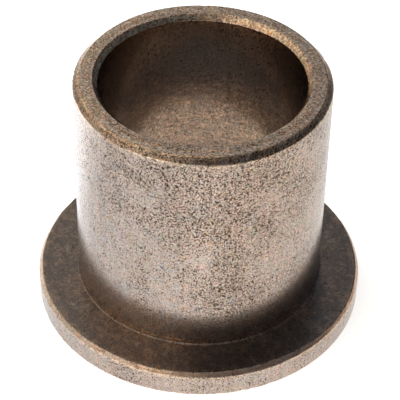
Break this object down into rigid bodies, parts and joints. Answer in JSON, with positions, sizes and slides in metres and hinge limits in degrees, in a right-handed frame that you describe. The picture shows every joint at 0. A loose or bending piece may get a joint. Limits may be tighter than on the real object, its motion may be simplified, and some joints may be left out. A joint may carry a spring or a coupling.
{
  "type": "flanged sleeve bushing",
  "caption": "Flanged plain bearing sleeve in oil-filled sintered bronze, with a smooth through bore, a chamfered free end and a thin round flange that locates it in a housing.",
  "frame": {"origin": "centre of the flange's outer face, on the bore axis", "axes": "+Z along the bore axis, from the flange towards the sleeve's free end; the shape is round, so X and Y are free"},
  "size_m": [0.06, 0.06, 0.0475],
  "materials": {
    "sintered_bronze": "as-sintered tin bronze, porous and lightly oiled, pinkish grey-brown with dark pores"
  },
  "bodies": {
    "root": {"flanged_bushing": "sintered_bronze"}
  },
  "joints": []
}
